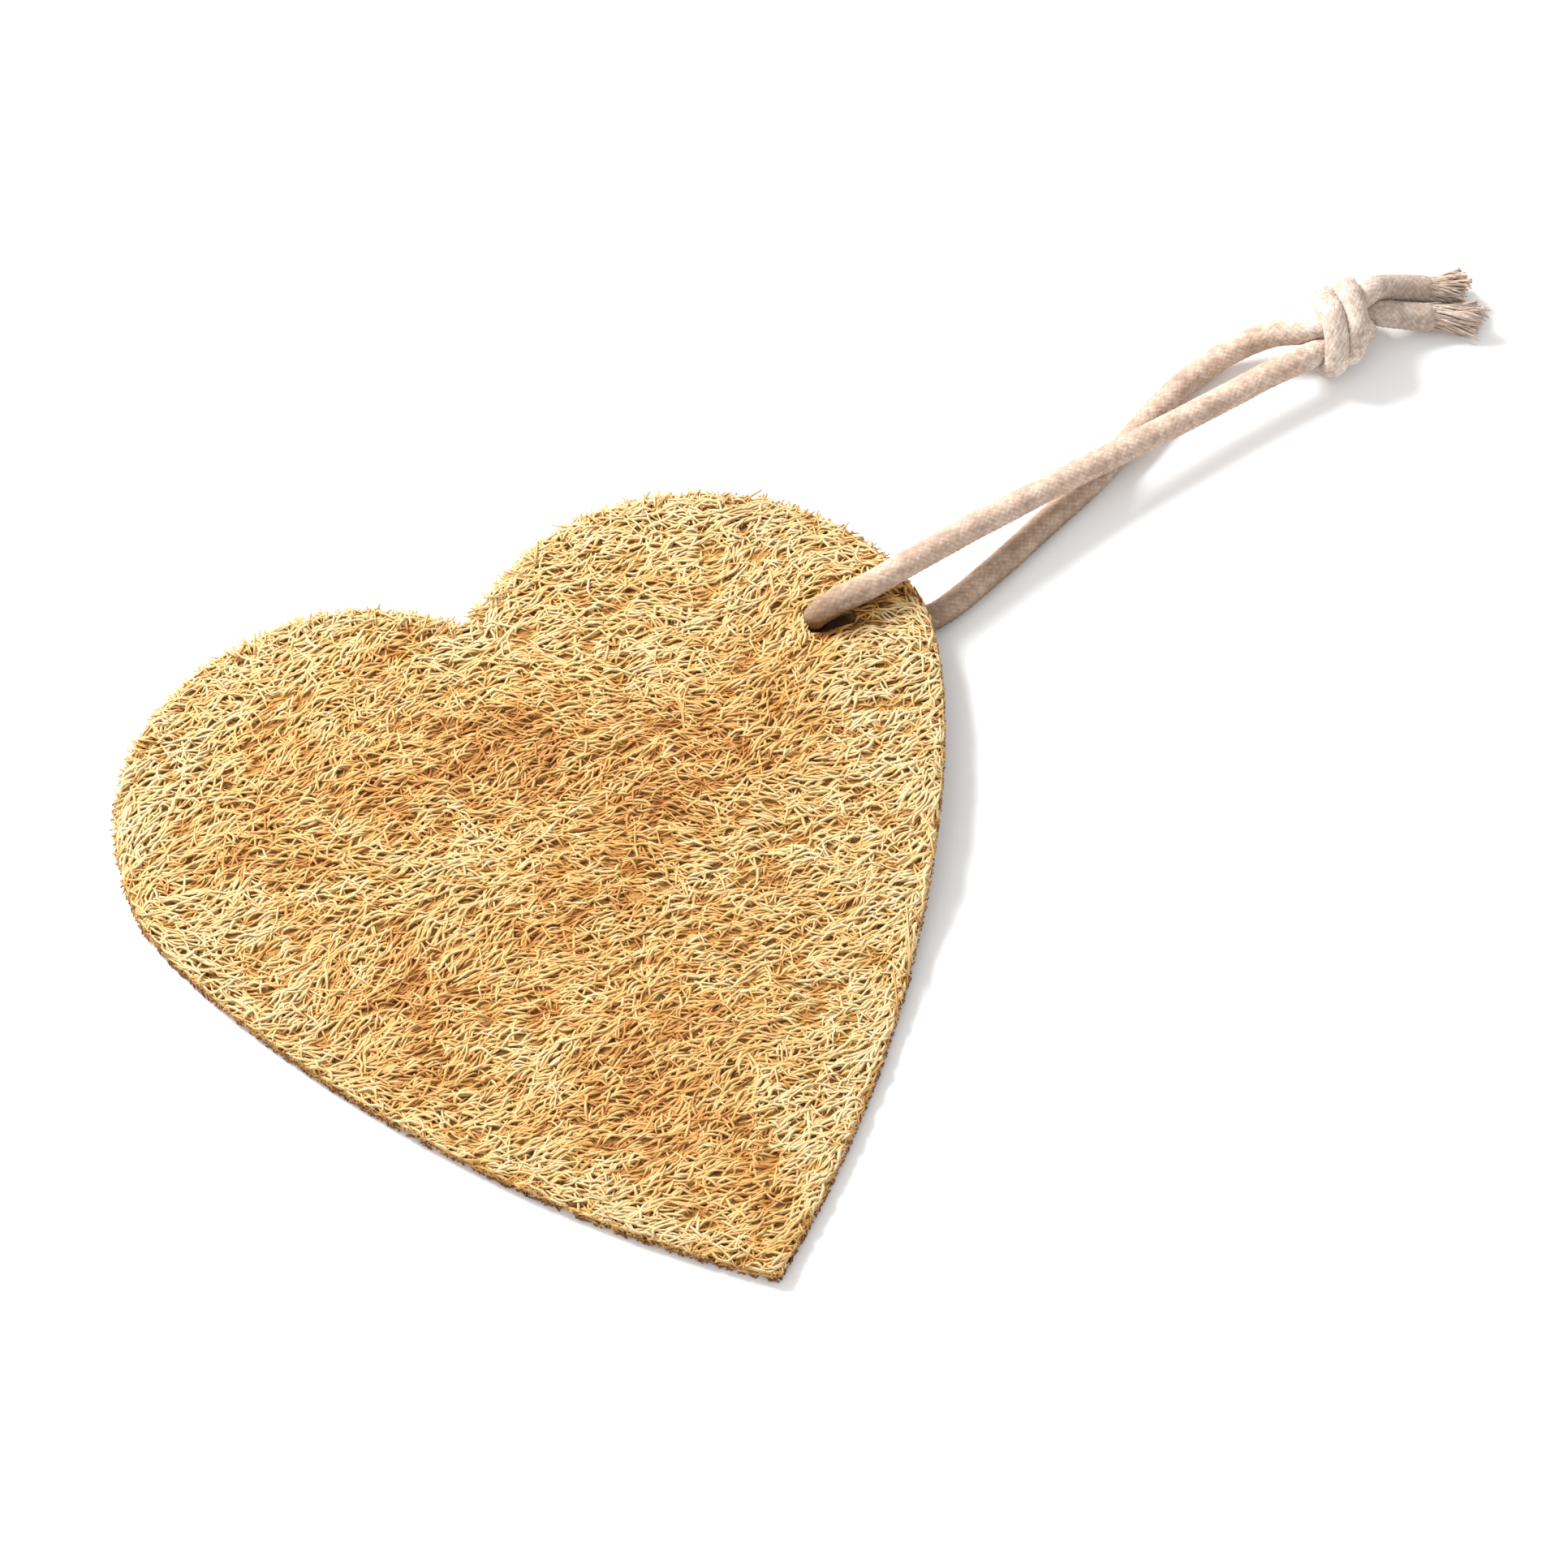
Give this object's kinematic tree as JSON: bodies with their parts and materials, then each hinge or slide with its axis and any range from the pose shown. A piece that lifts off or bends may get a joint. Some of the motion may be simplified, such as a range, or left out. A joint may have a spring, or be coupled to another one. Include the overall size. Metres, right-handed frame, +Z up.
{
  "type": "heart-shaped loofah sponge with hanging cord",
  "caption": "Flat heart-shaped scrubbing pad of pressed natural loofah fibre, hung on a knotted cotton cord that is threaded through one lobe.",
  "frame": {"origin": "under the middle of the pad's box, on the surface that it lies on", "axes": "+Z up out of the pad, +Y along the heart's axis towards its lobes, +X to the right lobe and the cord"},
  "size_m": [0.1971, 0.111, 0.0115],
  "materials": {
    "loofah_fibre": "dry pressed plant fibre, golden straw, matte with pale fibre highlights",
    "cotton_cord": "undyed braided cotton, matte"
  },
  "bodies": {
    "root": {"loofah_pad": "loofah_fibre", "hanging_cord": "cotton_cord", "cord_knot": "cotton_cord", "cord_tail_upper": "cotton_cord", "cord_tail_lower": "cotton_cord"}
  },
  "joints": []
}
